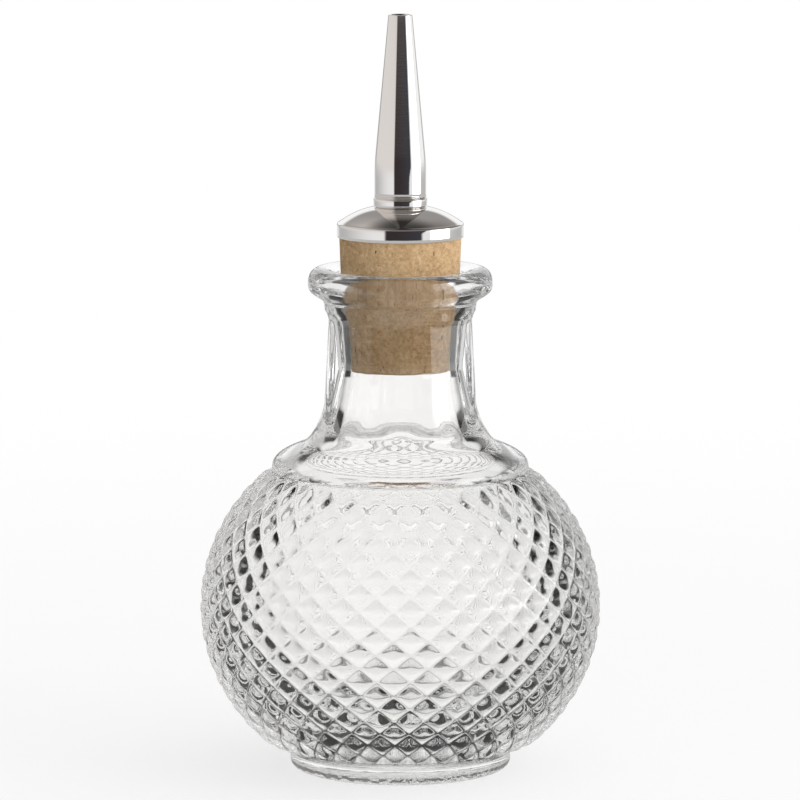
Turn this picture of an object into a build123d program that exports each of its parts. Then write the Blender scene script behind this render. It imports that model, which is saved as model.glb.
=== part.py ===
# A small round bitters bottle of thick clear glass, closed by a cork that carries a metal dasher spout.
# Millimetres, +Z up. The origin is the middle of the ring that the foot stands on.
import math
import os

from build123d import *

# Globe of the bottle. The radius and half height are those of the floor of the grooves between the diamonds
globe_radius = 33.7
globe_half_height = 30.8
relief_depth = 0.7
diamond_columns = 36
diamond_rows = 20  # an even number, so that the top and bottom rows start on the same columns
row_crowding_share = 0.111  # how much closer the rows lie at the middle than at the ends
first_column_share = -0.2  # where the first column lies, in columns from the front
globe_wall = 3.2
shoulder_wall = 3.4
base_thickness = 4.4

# Foot ring under the globe, and the plain band from it up to the relief
foot_radius = 19.0
foot_height = 2.6
foot_rounding = 1.4
foot_flat_width = 3.0
foot_push_up = 1.5
foot_lap = 0.5  # how far the foot reaches up into the globe
band_width = 2.4
band_rise = 1.6
band_step = 0.3  # the band lies this far inside the grooves

# Cork
cork_plug_length = 16.45  # the part inside the neck
cork_head_length = 7.55  # the part over the mouth
cork_bottom_radius = 7.95
cork_mouth_radius = 10.2
cork_head_flare = 0.25
cork_edge_rounding = 0.5
cork_seat_clearance = 0.08

# Shoulder and neck, from the seam upwards
shoulder_radius = 22.1
shoulder_rise = 4.45
shoulder_roll_width = 4.9
shoulder_roll_share = 0.16
shoulder_roll_middle_radius_share = 0.67
shoulder_roll_middle_height_share = 0.6
shoulder_top_slope_share = 0.375
seam_step = 0.58  # how far the shoulder stands out from the grooves
seam_lap = 0.2  # how far the shoulder hangs over the top of the relief
flare_rise = 5.85
flare_middle_radius_share = 0.33
flare_middle_height_share = 0.366
neck_length = 18.3
neck_wall = 2.8
neck_taper = 0.9
bore_foot_flare = 2.85  # how much wider than the cork's tip the bore gets at its foot
bore_foot_drop = 11.2
bore_foot_bend = 1.0
bore_root_flare = 10.55
bore_root_bend = 9.0

# Flat panels round the neck
panel_count = 8
panel_bottom_depth = 0.9
panel_top_depth = 0.75
panel_low_reach = 3.4  # how far each panel runs down into the flare
panel_scoop_rise = 4.9
panel_scoop_reach = 1.05
panel_top_gap = 0.1
panel_top_rise = 2.2
panel_top_reach = 1.0

# Lip ring round the mouth
lip_overhang = 2.85
lip_height = 5.35
lip_widest_share = 0.645
lip_crown_share = 0.57
lip_crown_rise = 1.0  # how far the crown stands over the mouth's inner edge
lip_low_bulge_share = 0.5
lip_low_rise_share = 0.444
lip_high_bulge_share = 0.76
lip_high_rise_share = 0.76
mouth_rounding = 0.5

# Shank tube through the cork
shank_radius = 2.6
shank_wall = 0.6
shank_recess = 0.4  # how far its lower end stays inside the cork

# Cap on the cork
cap_skirt_wall = 0.4
cap_skirt_lap = 1.2  # how far the skirt comes down over the cork
cap_rim_height = 2.1
cap_rim_rounding = 0.4
cap_dome_rise = 3.05
cap_boss_margin = 0.15
cap_dome_middle_share = 0.5
cap_dome_bulge_share = 0.67

# Spout
spout_length = 31.25
spout_base_radius = 4.43
spout_shoulder_inset = 0.16
spout_shoulder_share = 0.235
spout_straight_share = 0.09
spout_tip_radius = 2.05
spout_wall = 0.5
spout_tip_rounding = 0.12

# Ferrule between the cap and the spout
ferrule_overhang = 0.17
ferrule_height = 1.6
ferrule_foot_inset = 0.45
ferrule_edge_rounding = 0.25

# Restrictor seated in the foot of the spout
restrictor_height = 2.0
restrictor_orifice_radius = 0.5
restrictor_funnel_share = 0.5

overrun = 1.0  # how far cutting shapes run past what they cut


def rise_on_globe(radius):
    """Height from the globe's centre to the place where its grooves have that radius."""
    return globe_half_height * math.sqrt(1 - (radius / globe_radius) ** 2)


relief_bottom_radius = foot_radius + band_width
relief_bottom_height = foot_height + band_rise
globe_centre_height = relief_bottom_height + rise_on_globe(relief_bottom_radius)
seam_height = globe_centre_height + rise_on_globe(shoulder_radius - seam_step)

shoulder_top_radius = shoulder_radius - shoulder_roll_width
neck_top_radius = cork_mouth_radius + neck_wall
neck_bottom_radius = neck_top_radius + neck_taper
lip_radius = neck_top_radius + lip_overhang
cork_head_radius = cork_mouth_radius + cork_head_flare
ferrule_radius = spout_base_radius + ferrule_overhang
ferrule_foot_radius = ferrule_radius - ferrule_foot_inset
cap_boss_radius = ferrule_foot_radius + cap_boss_margin

shoulder_top_height = seam_height + shoulder_rise
neck_bottom_height = shoulder_top_height + flare_rise
neck_top_height = neck_bottom_height + neck_length
mouth_height = neck_top_height + lip_height
cork_bottom_height = mouth_height - cork_plug_length
cork_top_height = mouth_height + cork_head_length
cap_bottom_height = cork_top_height - cap_skirt_lap
cap_rim_top_height = cap_bottom_height + cap_rim_height
cap_top_height = cap_rim_top_height + cap_dome_rise
ferrule_top_height = cap_top_height + ferrule_height
spout_top_height = ferrule_top_height + spout_length


def turned(*edges):
    """Solid of revolution about Z from the edges of a half section, given as radius and height."""
    outline = Wire(edges)
    if not outline.is_closed:
        outline = Wire([*outline.edges(), Line(outline @ 1, outline @ 0).edge()])
    section = Face(outline).rotate(Axis.X, 90)
    return revolve(section, Axis.Z)


def ring(outer, inner, low, high):
    """Plain tube between two heights."""
    corners = [(inner, low), (outer, low), (outer, high), (inner, high)]
    return turned(*Polyline(*corners, close=True).edges())


def between(start, end, share):
    """Value that lies a share of the way from start to end."""
    return start + share * (end - start)


def globe_angle(height):
    """Angle of a height on the globe's ellipse, in radians above its widest circle."""
    return math.asin((height - globe_centre_height) / globe_half_height)


def relief_point(row, column, proud=0.0):
    """Point of the diamond lattice. Rows count down from the seam. Proud lifts it off the grooves."""
    bottom, top = globe_angle(relief_bottom_height), globe_angle(seam_height)
    along = 1 - 2 * row / diamond_rows
    eased = along + row_crowding_share * (along**3 - along)
    angle = between(bottom, top, (1 + eased) / 2)
    radius = (globe_radius + proud) * math.cos(angle)
    turn = 2 * math.pi * (column + first_column_share) / diamond_columns - math.pi / 2
    height = globe_centre_height + (globe_half_height + proud) * math.sin(angle)
    return Vector(radius * math.cos(turn), radius * math.sin(turn), height)


def facet(*corners):
    return Face(Wire.make_polygon(corners, close=True))


def globe():
    """Globe with one low four-sided pyramid for each diamond, flat on top and below."""
    facets = []
    for row in range(1, diamond_rows):
        for column in range(diamond_columns):
            middle = column + (row - 1) % 2 / 2
            peak = relief_point(row, middle, relief_depth)
            corners = [
                relief_point(row - 1, middle),
                relief_point(row, middle - 1 / 2),
                relief_point(row + 1, middle),
                relief_point(row, middle + 1 / 2),
            ]
            for first, second in zip(corners, corners[1:] + corners[:1]):
                facets.append(facet(first, second, peak))
    for end, inward in ((0, 1), (diamond_rows, diamond_rows - 1)):
        rim = [relief_point(end, column) for column in range(diamond_columns)]
        for column in range(diamond_columns):
            tip = relief_point(inward, column + 1 / 2)
            facets.append(facet(rim[column], rim[(column + 1) % diamond_columns], tip))
        facets.append(facet(*rim))
    return Solid(Shell(facets))


def foot():
    """Foot ring with a rounded lower edge and a push-up, and the plain band that joins it to the globe."""
    band_radius = relief_bottom_radius - band_step
    flat_outer = foot_radius - foot_rounding
    flat_inner = flat_outer - foot_flat_width
    top = relief_bottom_height + foot_lap
    hollow_middle = (flat_inner / math.sqrt(2), foot_push_up / 2)
    hollow = ThreePointArc((0, foot_push_up), hollow_middle, (flat_inner, 0))
    edge = CenterArc((flat_outer, foot_rounding), foot_rounding, -90, 90)
    band_top = (band_radius, relief_bottom_height)
    side = Polyline(edge @ 1, (foot_radius, foot_height), band_top, (band_radius, top), (0, top))
    return turned(hollow, Line(hollow @ 1, edge @ 0), edge, *side.edges())


def neck_and_lip():
    """Rolled shoulder, flare, tapered neck and rounded lip ring, still without panels or bore."""
    low = seam_height - seam_lap
    lip_widest = between(neck_top_height, mouth_height, lip_widest_share)
    lip_crown_radius = between(cork_mouth_radius, lip_radius, lip_crown_share)
    roll_start = between(seam_height, shoulder_top_height, shoulder_roll_share)
    roll_middle = (
        between(shoulder_top_radius, shoulder_radius, shoulder_roll_middle_radius_share),
        between(roll_start, shoulder_top_height, shoulder_roll_middle_height_share),
    )
    wall = Polyline((0, low), (shoulder_radius, low), (shoulder_radius, roll_start))
    roll = Spline(
        wall @ 1,
        roll_middle,
        (shoulder_top_radius, shoulder_top_height),
        tangents=[(0, 1), (-1, shoulder_top_slope_share)],
    )
    flare_middle = (
        between(neck_bottom_radius, shoulder_top_radius, flare_middle_radius_share),
        between(shoulder_top_height, neck_bottom_height, flare_middle_height_share),
    )
    flare = Spline(
        roll @ 1,
        flare_middle,
        (neck_bottom_radius, neck_bottom_height),
        tangents=[roll % 1, (-neck_taper, neck_length)],
    )
    neck = Line(flare @ 1, (neck_top_radius, neck_top_height))
    lip_low_middle = (
        between(neck_top_radius, lip_radius, lip_low_bulge_share),
        between(neck_top_height, lip_widest, lip_low_rise_share),
    )
    lip_low = Spline(neck @ 1, lip_low_middle, (lip_radius, lip_widest), tangents=[neck % 1, (0, 1)])
    crown = (lip_crown_radius, mouth_height + lip_crown_rise)
    lip_high_middle = (
        between(lip_crown_radius, lip_radius, lip_high_bulge_share),
        between(lip_widest, crown[1], lip_high_rise_share),
    )
    lip_high = Spline(lip_low @ 1, lip_high_middle, crown, tangents=[(0, 1), (-1, 0)])
    lip_inside = TangentArc(crown, (cork_mouth_radius, mouth_height), tangent=(-1, 0))
    top = Line(lip_inside @ 1, (0, mouth_height))
    return turned(*wall.edges(), roll, flare, neck, lip_low, lip_high, lip_inside, top)


def neck_panel():
    """Block that cuts one flat panel in the side of the neck, scooped out at its foot and under the lip."""
    low = neck_bottom_height - panel_low_reach
    high = neck_top_height - panel_top_gap
    outside = shoulder_radius + overrun
    scoop_top = (neck_bottom_radius - panel_bottom_depth, low + panel_scoop_rise)
    turn_bottom = (neck_top_radius - panel_top_depth, high - panel_top_rise)
    slope = (turn_bottom[0] - scoop_top[0], turn_bottom[1] - scoop_top[1])
    scoop_end = (neck_bottom_radius + panel_scoop_reach, low)
    scoop = TangentArc(scoop_top, scoop_end, tangent=(-slope[0], -slope[1]))
    flat = Line(scoop_top, turn_bottom)
    turn = TangentArc(turn_bottom, (neck_top_radius + panel_top_reach, high), tangent=slope)
    rest = Polyline(turn @ 1, (outside, high), (outside, low), scoop_end)
    outline = Face(Wire([scoop, flat, turn, *rest.edges()])).rotate(Axis.X, 90)
    half_width = shoulder_radius * math.tan(math.pi / panel_count)
    return extrude(outline, half_width, both=True)


def cavity():
    """Space inside the bottle: the round interior, the neck's bore and the tapered seat of the cork."""
    inner_radius = globe_radius - globe_wall
    low_half = globe_centre_height - base_thickness
    high_half = globe_half_height - shoulder_wall
    centre = (0, globe_centre_height)
    bore_root_radius = cork_bottom_radius + bore_root_flare
    root_angle = math.degrees(math.acos(bore_root_radius / inner_radius))
    floor = EllipticalCenterArc(centre, inner_radius, low_half, -90, arc_size=90)
    ceiling = EllipticalCenterArc(centre, inner_radius, high_half, 0, arc_size=root_angle)
    seat_bottom_radius = cork_bottom_radius + cork_seat_clearance
    seat_top_radius = cork_mouth_radius + cork_seat_clearance
    bore_foot = (cork_bottom_radius + bore_foot_flare, cork_bottom_height - bore_foot_drop)
    rounding_start = mouth_height - mouth_rounding
    wall_top_radius = between(seat_top_radius, seat_bottom_radius, mouth_rounding / cork_plug_length)
    wall = Polyline(bore_foot, (seat_bottom_radius, cork_bottom_height), (wall_top_radius, rounding_start))
    root = Bezier(
        ceiling @ 1,
        ceiling @ 1 + ceiling % 1 * bore_root_bend,
        wall @ 0 - wall % 0 * bore_foot_bend,
        wall @ 0,
    )
    top = mouth_height + lip_crown_rise + overrun
    rim = Polyline(wall @ 1, (wall_top_radius + top - rounding_start, top), (0, top))
    return turned(floor, ceiling, root, *wall.edges(), *rim.edges())


def glass_bottle():
    body = globe() + foot() + neck_and_lip()
    panel = neck_panel()
    turns = [360 * number / panel_count for number in range(panel_count)]
    panels = [panel.rotate(Axis.Z, turn) for turn in turns]
    return body - panels - cavity()


def cork_stopper():
    """Tapered cork with a bore for the shank tube."""
    edge = cork_edge_rounding
    slope = (cork_mouth_radius - cork_bottom_radius) / cork_plug_length
    side = Polyline(
        (shank_radius, cork_bottom_height),
        (cork_bottom_radius - edge, cork_bottom_height),
        (cork_bottom_radius + edge * slope, cork_bottom_height + edge),
        (cork_mouth_radius, mouth_height),
        (cork_head_radius, cap_bottom_height),
        (cork_head_radius, cork_top_height),
        (shank_radius, cork_top_height),
        close=True,
    )
    return turned(*side.edges())


def shank_tube():
    """Tube that carries the liquid up through the cork, the cap and the ferrule."""
    low = cork_bottom_height + shank_recess
    return ring(shank_radius, shank_radius - shank_wall, low, ferrule_top_height)


def dasher_cap():
    """Low domed cap whose skirt wraps the top of the cork."""
    outer = cork_head_radius + cap_skirt_wall
    rim_edge = (outer - cap_rim_rounding, cap_rim_top_height + cap_rim_rounding)
    skirt = Polyline(
        (shank_radius, cap_top_height),
        (shank_radius, cork_top_height),
        (cork_head_radius, cork_top_height),
        (cork_head_radius, cap_bottom_height),
        (outer, cap_bottom_height),
        (outer, cap_rim_top_height),
    )
    rim = CenterArc((outer - cap_rim_rounding, cap_rim_top_height), cap_rim_rounding, 0, 90)
    dome_middle = (
        between(rim_edge[0], cap_boss_radius, cap_dome_middle_share),
        between(rim_edge[1], cap_top_height, cap_dome_bulge_share),
    )
    dome = ThreePointArc(rim @ 1, dome_middle, (cap_boss_radius, cap_top_height))
    return turned(*skirt.edges(), rim, dome, Line(dome @ 1, skirt @ 0))


def spout_ferrule():
    """Ring under the spout, drawn in at its foot."""
    edge = ferrule_edge_rounding
    inset = ferrule_foot_inset
    foot_curve = CenterArc((ferrule_foot_radius, cap_top_height + inset), inset, -90, 90)
    crown = CenterArc((ferrule_radius - edge, ferrule_top_height - edge), edge, 0, 90)
    bore_top, bore_foot = (shank_radius, ferrule_top_height), (shank_radius, cap_top_height)
    bore = Polyline(crown @ 1, bore_top, bore_foot, foot_curve @ 0)
    return turned(foot_curve, Line(foot_curve @ 1, crown @ 0), crown, *bore.edges())


def spout_radius_inside(height):
    """Radius of the spout's bore, which tapers straight from its foot to its tip."""
    share = (height - ferrule_top_height) / spout_length
    return between(spout_base_radius, spout_tip_radius, share) - spout_wall


def spout_cone():
    """Slender tapered tube, nearly straight at its foot, open at the tip."""
    shoulder_height = ferrule_top_height + spout_length * spout_shoulder_share
    straight_top = ferrule_top_height + spout_length * spout_straight_share
    tip = (spout_tip_radius - spout_tip_rounding, spout_top_height)
    tip_side = (spout_tip_radius, spout_top_height - spout_tip_rounding)
    foot_side = Line((spout_base_radius, ferrule_top_height), (spout_base_radius, straight_top))
    taper = Line((spout_base_radius - spout_shoulder_inset, shoulder_height), tip_side)
    swell = Spline(foot_side @ 1, taper @ 0, tangents=[(0, 1), taper % 0])
    inner_tip = (spout_radius_inside(spout_top_height), spout_top_height)
    inner_foot = (spout_radius_inside(ferrule_top_height), ferrule_top_height)
    rest = Polyline(tip_side, tip, inner_tip, inner_foot, foot_side @ 0)
    return turned(foot_side, swell, taper, *rest.edges())


def dash_restrictor():
    """Plug with a small orifice, seated on the shank tube in the foot of the spout."""
    low, high = ferrule_top_height, ferrule_top_height + restrictor_height
    funnel_bottom = between(low, high, restrictor_funnel_share)
    funnel_radius = between(restrictor_orifice_radius, spout_radius_inside(high), restrictor_funnel_share)
    outline = Polyline(
        (restrictor_orifice_radius, low),
        (spout_radius_inside(low), low),
        (spout_radius_inside(high), high),
        (funnel_radius, high),
        (restrictor_orifice_radius, funnel_bottom),
        close=True,
    )
    return turned(*outline.edges())


os.makedirs("parts", exist_ok=True)
pieces = {
    "glass_bottle": glass_bottle,
    "cork_stopper": cork_stopper,
    "shank_tube": shank_tube,
    "dasher_cap": dasher_cap,
    "spout_ferrule": spout_ferrule,
    "spout_cone": spout_cone,
    "dash_restrictor": dash_restrictor,
}
for node, make in pieces.items():
    export_step(make(), f"parts/{node}.step")
    print(node, "written")
print(f"mouth {mouth_height:.2f} mm, top of the spout {spout_top_height:.2f} mm over the table")
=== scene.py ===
import math

import bpy
import numpy as np
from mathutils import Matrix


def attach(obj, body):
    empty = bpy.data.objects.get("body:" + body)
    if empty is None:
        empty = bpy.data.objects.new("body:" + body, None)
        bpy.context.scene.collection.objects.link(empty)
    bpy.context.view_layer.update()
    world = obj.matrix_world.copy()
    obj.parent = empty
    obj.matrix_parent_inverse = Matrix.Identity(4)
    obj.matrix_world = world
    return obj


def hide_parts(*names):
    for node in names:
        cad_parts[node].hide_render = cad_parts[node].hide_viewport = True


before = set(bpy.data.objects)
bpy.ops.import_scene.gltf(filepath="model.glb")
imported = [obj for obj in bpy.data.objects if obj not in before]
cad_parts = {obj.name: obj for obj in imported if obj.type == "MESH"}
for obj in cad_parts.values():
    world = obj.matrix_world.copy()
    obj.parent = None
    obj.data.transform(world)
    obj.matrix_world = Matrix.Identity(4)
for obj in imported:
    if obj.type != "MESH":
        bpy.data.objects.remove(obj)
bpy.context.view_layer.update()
print("frame loaded")

mm = 0.001  # every piece is worked out in millimetres and put into its mesh in metres


class Wire:
    # A shader socket that can stand in a sum. Each operator adds one Math node.
    def __init__(self, finish, socket):
        self.finish, self.socket = finish, socket

    def __add__(self, other): return self.finish.maths("ADD", self, other)
    def __radd__(self, other): return self.finish.maths("ADD", other, self)
    def __sub__(self, other): return self.finish.maths("SUBTRACT", self, other)
    def __rsub__(self, other): return self.finish.maths("SUBTRACT", other, self)
    def __mul__(self, other): return self.finish.maths("MULTIPLY", self, other)
    def __rmul__(self, other): return self.finish.maths("MULTIPLY", other, self)


class Finish:
    # The node tree of one material, or of the world, being filled.
    def __init__(self, tree):
        self.tree = tree
        tree.nodes.clear()

    def add(self, kind, settings=None, sockets=None, output=0):
        # Adds a node: its settings first, then a value or a link for each socket named.
        made = self.tree.nodes.new(kind)
        for name, value in (settings or {}).items():
            if name == "stops":  # (place, colour) of each stop of a ramp
                stops = made.color_ramp.elements
                while len(stops) < len(value):
                    stops.new(1.0)
                for stop, (place, colour) in zip(stops, value):
                    stop.position, stop.color = place, (*colour, 1.0)
            else:
                setattr(made, name, value)
        for name, value in (sockets or {}).items():
            if isinstance(value, Wire):
                self.tree.links.new(value.socket, made.inputs[name])
            else:
                made.inputs[name].default_value = value
        return None if output is None else Wire(self, made.outputs[output])

    def maths(self, operation, *values):
        # One Math node on wires and numbers
        return self.add("ShaderNodeMath", {"operation": operation}, dict(enumerate(values)))

    def blend(self, share, first, second, mode="MIX"):
        # Colour that goes from first to second as share goes from 0 to 1
        settings = {"data_type": "RGBA", "blend_type": mode}
        return self.add("ShaderNodeMix", settings, {0: share, 6: first, 7: second}, 2)

    def ramp(self, value, low, high, start=0.0, end=1.0):
        # Smooth step of a value from start at low to end at high
        settings = {"interpolation_type": "SMOOTHSTEP"}
        sockets = {0: value, 1: low, 2: high, 3: start, 4: end}
        return self.add("ShaderNodeMapRange", settings, sockets)

    def noise(self, place, scale, detail=2.0, roughness=0.5):
        # Fractal noise, mostly between 0.3 and 0.7
        return self.add("ShaderNodeTexNoise", {}, {
            "Vector": place, "Scale": scale, "Detail": detail, "Roughness": roughness})

    def stretch(self, place, *scale):
        # The place with each of its axes scaled, so that a pattern on it is squashed there
        return self.add("ShaderNodeMapping", {}, {"Vector": place, "Scale": scale})

    def bump(self, height, strength, distance, under=None):
        # Normal bent by a height, on top of another normal if one is given
        sockets = {"Strength": strength, "Distance": distance, "Height": height}
        if under is not None:
            sockets["Normal"] = under
        return self.add("ShaderNodeBump", {}, sockets)

    def polish(self, **sockets):
        # Principled shader on the material's output, its sockets named without their spaces
        names = {"".join(word.split()): word for word in (
            "Base Color", "Metallic", "Roughness", "IOR", "Transmission Weight",
            "Specular IOR Level", "Normal")}
        sockets = {names[name]: value for name, value in sockets.items()}
        self.show(self.add("ShaderNodeBsdfPrincipled", {}, sockets))

    def show(self, shader, kind="ShaderNodeOutputMaterial"):
        # The tree's output node
        self.add(kind, {}, {"Surface": shader}, None)


def newMaterial(name):
    # A material, the finish that fills it, and the Object coordinates that its patterns follow
    made = bpy.data.materials.new(name)
    made.use_nodes = True
    finish = Finish(made.node_tree)
    return made, finish, finish.add("ShaderNodeTexCoord", output=3)


def wear(piece, material):
    # The material becomes the piece's only one
    piece.data.materials.clear()
    piece.data.materials.append(material)


def grey(value):
    return (value, value, value, 1.0)


def ease(start, end, share):
    # Start plus that share of the way to end
    return start + share * (end - start)


def straightLine(start, end, count):
    # Start times 1 - t plus end times t, with t from 0 to 1
    t = np.linspace(0, 1, count)[:, None]
    return np.array(start, float) * (1 - t) + np.array(end, float) * t


def bezierLine(start, leave, arrive, end, count):
    # Cubic Bezier of start, start + leave, end + arrive and end, the four points weighted by
    # (1-t)^3, 3t(1-t)^2, 3t^2(1-t) and t^3
    t = np.linspace(0, 1, count)[:, None]
    start, end = np.array(start, float), np.array(end, float)
    weights = (1 - t) ** 3, 3 * t * (1 - t) ** 2, 3 * t * t * (1 - t), t ** 3
    return sum(w * p for w, p in zip(weights, (start, start + leave, end + arrive, end)))


def ellipseArc(centre, across, along, start, end, count):
    # Centre plus across * cos(angle) and along * sin(angle), the angle going from start to end
    angle = np.linspace(start, end, count)
    return np.stack([centre[0] + across * np.cos(angle), centre[1] + along * np.sin(angle)], 1)


def superellipseQuarter(start, end, power, count):
    # Leaves start upright and meets end level: the step up goes with sin(angle) and the step
    # across with 1 - cos(angle), with sin and cos each to the power 2 / power
    angle = np.linspace(0, math.pi / 2, count)
    along, across = np.sin(angle) ** (2 / power), 1 - np.cos(angle) ** (2 / power)
    return np.stack([ease(start[0], end[0], across), ease(start[1], end[1], along)], 1)


def joinLines(*lines):
    # One line from several that follow each other, without the points that repeat
    points = np.concatenate(lines)
    keep = np.ones(len(points), bool)
    keep[1:] = np.linalg.norm(np.diff(points, axis=0), axis=1) > 1e-4
    return points[keep]


def ringTurns(columns, start=0.0):
    # Angles round the axis, evenly spaced from start
    return start + 2 * math.pi * np.arange(columns) / columns


def ringPoints(radius, height, turns):
    # Points of rings: radius times cos and sin of the turn, at that height
    return np.stack([radius * np.cos(turns), radius * np.sin(turns),
                     np.broadcast_to(height, radius.shape)], -1)


def turnedRings(outline, turns):
    # Each point of an outline of radius and height becomes a ring with a point at each turn
    radius = np.repeat(outline[:, :1], len(turns), 1)
    height = np.repeat(outline[:, 1:], len(turns), 1)
    return ringPoints(radius, height, turns)


def gridCorners(rows, columns, first):
    # Numbers of the four corners of each cell of a grid that closes round its columns
    row, column = np.meshgrid(np.arange(rows - 1), np.arange(columns), indexing="ij")
    a = first + row * columns + column
    b = first + row * columns + (column + 1) % columns
    return row, column, a, b, b + columns, a + columns


def gridFaces(rows, columns, first=0):
    # Two triangles for each cell
    _, _, a, b, c, d = gridCorners(rows, columns, first)
    return np.concatenate([np.stack(corners, -1).reshape(-1, 3) for corners in ((a, b, c), (a, c, d))])


def makeMesh(name, points, faces):
    # An object at the origin with a mesh of these points and triangles
    mesh = bpy.data.meshes.new(name)
    mesh.vertices.add(len(points))
    mesh.vertices.foreach_set("co", (np.asarray(points, float) * mm).ravel())
    mesh.loops.add(len(faces) * 3)
    mesh.loops.foreach_set("vertex_index", faces.astype(np.int32).ravel())
    mesh.polygons.add(len(faces))
    mesh.polygons.foreach_set("loop_start", np.arange(0, len(faces) * 3, 3, dtype=np.int32))
    mesh.polygons.foreach_set("use_smooth", np.ones(len(faces), bool))
    mesh.update(calc_edges=True)
    mesh.validate()
    made = bpy.data.objects.new(name, mesh)
    bpy.context.scene.collection.objects.link(made)
    return made


def turnedPiece(name, outline, columns):
    # Closed outline of radius and height, carried round the axis. It runs up its outer side.
    points = turnedRings(outline, ringTurns(columns)).reshape(-1, 3)
    faces = gridFaces(len(outline) + 1, columns) % len(points)
    return makeMesh(name, points, faces)


camera = {
    "distance": 1.0,       # metres in front of the bottle's axis
    "height": 0.210,
    "tiltDown": 8.3213,    # degrees
    "lens": 264.857,       # millimetres
    "sensorWidth": 36.0,
    "shiftX": -0.0004,
    "clip": (0.05, 20.0),  # metres
}
view = bpy.data.cameras.new("camera")
view.lens, view.sensor_width, view.shift_x = camera["lens"], camera["sensorWidth"], camera["shiftX"]
view.clip_start, view.clip_end = camera["clip"]
viewObject = bpy.data.objects.new("camera", view)
viewObject.location = (0, -camera["distance"], camera["height"])
viewObject.rotation_euler = (math.radians(90 - camera["tiltDown"]), 0, 0)
bpy.context.scene.collection.objects.link(viewObject)
bpy.context.scene.camera = viewObject
print("camera placed")


# In these dictionaries a curve's leave and arrive are (out, up) from its start and its end.
globe = {
    "radius": 33.72,         # floor of the grooves between the diamonds
    "halfHeight": 30.8,
    "centreHeight": 27.994,
    "bottomHeight": 4.2,
    "seamHeight": 51.696,
    "columns": 36,           # diamonds round the globe
    "rows": 20,              # half diamonds up it
    "crowding": 0.111,       # how much closer the rows lie at the middle
    "firstColumn": -0.2,
    "pillowHeight": 0.80,
    "pillowFlatness": 2.6,   # 2 gives a round pillow, more a flatter one with steeper sides
    "pillowSpread": 1.15,
    "endFade": 0.5,          # rows over which the relief fades out at the top and bottom
    "samples": 12,           # mesh columns for each diamond
    "rowSamples": 6,
}
foot = {
    "radius": 19.0,
    "height": 2.6,
    "rounding": 1.4,
    "flatWidth": 3.0,        # of the resting ring
    "pushUp": 1.5,
    "pushUpStart": 0.06,     # share of the ring's radius where the first ring of points lies
    "bandRadius": 21.1,      # the band flares from the foot up to the relief
    "bandGap": 0.05,
    "bandLeave": (0.1, 0.5),
    "bandArrive": (-0.4, -0.2),
}
shoulder = {
    "radius": 22.05,
    "stepIn": 0.35,          # the seam's step, over the top of the relief
    "stepDrop": 0.12,
    "stepRise": 0.3,
    "stepLeave": (0.27, 0),
    "rollStart": 52.4,
    "rollLeave": (0, 1.9),
    "rollArrive": (2.4, -0.9),
    "topRadius": 17.2,       # where the roll ends and the flare begins
    "topHeight": 56.15,
    "flareLeave": (-1.6, 0.6),
    "flareArrive": (0.14, -2.7),
}
neck = {
    "bottomRadius": 13.9,
    "bottomHeight": 61.996,
    "topRadius": 13.0,
    "topHeight": 80.3,       # where the lip's underside leaves it
    "topSpread": 0.04,
    "panels": 8,
    "panelBottomDepth": 0.9,
    "panelTopDepth": 0.75,
    "scoopTopHeight": 63.5,
    "scoopEndHeight": 58.6,
    "scoopReach": 1.7,
    "turnStartHeight": 77.996,
    "turnEndHeight": 80.196,
    "turnReach": 1.78,
    "pastEnds": 3.0,         # how fast the panels leave the glass past their ends
    "crestRounding": 0.16,
}
lip = {
    "radius": 15.85,
    "lowLeave": (-0.04, 1.6),
    "lowArrive": (0, -2.1),
    "widestHeight": 83.8,
    "crownRadius": 13.4,
    "crownHeight": 86.65,
    "highPower": 2.5,
    "topLeave": (-1.3, 0),
    "topArrive": (0.7, 0.35),
    "mouthHeight": 85.9,     # the inner edge lies lower than the crown
}
bore = {
    "mouthRadius": 10.28,
    "mouthRounding": 0.5,
    "mouthIn": 0.066,        # the seat is that much narrower at the end of the rounding
    "mouthLeave": (-0.4, 0),
    "mouthArrive": (0.036, 0.4),
    "seatBottomRadius": 8.03,
    "seatBottomHeight": 69.196,
    "rootTopRadius": 10.8,
    "rootTopHeight": 58.0,
    "rootTopHandle": 1.0,
    "rootRadius": 18.5,
    "rootHandle": 9.0,
    "innerRadius": 30.5,
    "innerHighHalf": 27.4,
    "innerLowHalf": 23.594,
    "poleGap": 0.03,         # angle left open at the lowest point, closed by a fan
}
columns = globe["columns"] * globe["samples"]
firstTurn = 2 * math.pi * globe["firstColumn"] / globe["columns"] - math.pi / 2  # -Y is the front


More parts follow.
